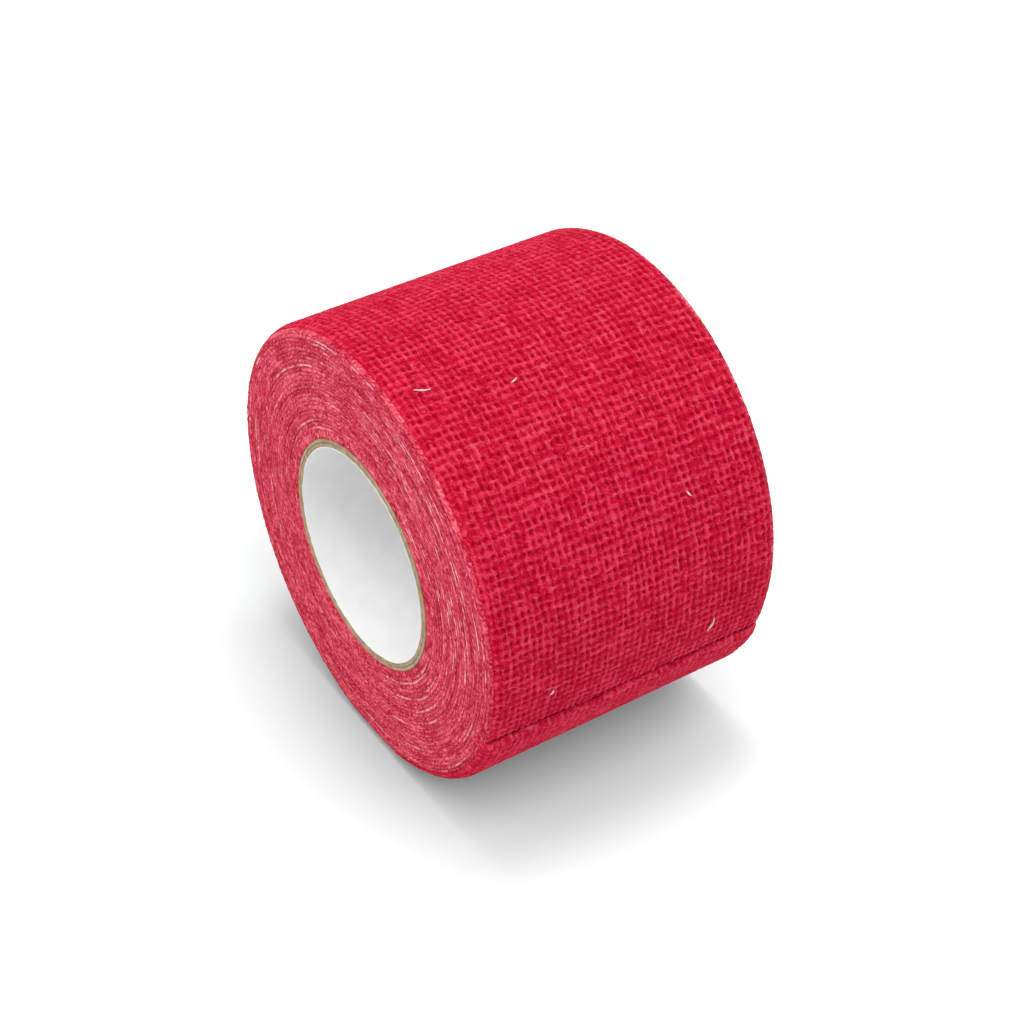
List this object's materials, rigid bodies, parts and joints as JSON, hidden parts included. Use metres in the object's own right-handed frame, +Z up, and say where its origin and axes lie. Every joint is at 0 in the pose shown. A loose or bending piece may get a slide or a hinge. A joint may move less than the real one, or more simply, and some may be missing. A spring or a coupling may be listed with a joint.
{
  "type": "hand wrap",
  "caption": "Roll of red self-adherent gauze hand-wrap tape wound on a paperboard core, with a free tail that peels off the roll.",
  "frame": {"origin": "on the ground under the middle of the roll, at the bottom centre of its box", "axes": "+Z up, the roll's axis along X, the tape's free end at the -Y side near the ground"},
  "size_m": [0.05, 0.071, 0.071],
  "materials": {
    "core_liner": "matt white paper",
    "core_board": "raw grey-tan chipboard",
    "tape": "open-weave gauze coated with red latex"
  },
  "bodies": {
    "roll": {"core_liner": "core_liner", "core_board_inner": "core_board", "core_board_outer": "core_board", "wound_tape_inner": "tape", "wound_tape_middle": "tape", "wound_tape_outer": "tape"},
    "tail_root": {"tail_root": "tape"},
    "tail_middle": {"tail_middle": "tape"},
    "tail_end": {"tail_end": "tape"}
  },
  "joints": [
    {"name": "peel_root", "type": "hinge", "parent": "roll", "child": "tail_root", "pos_m": [0, -0.01242, 0.00179], "axis": [1, 0, 0], "range_deg": [0, 30]},
    {"name": "peel_middle", "type": "hinge", "parent": "tail_root", "child": "tail_middle", "pos_m": [0, -0.02125, 0.00645], "axis": [1, 0, 0], "range_deg": [0, 16]},
    {"name": "peel_end", "type": "hinge", "parent": "tail_middle", "child": "tail_end", "pos_m": [0, -0.02846, 0.01337], "axis": [1, 0, 0], "range_deg": [0, 16]}
  ]
}
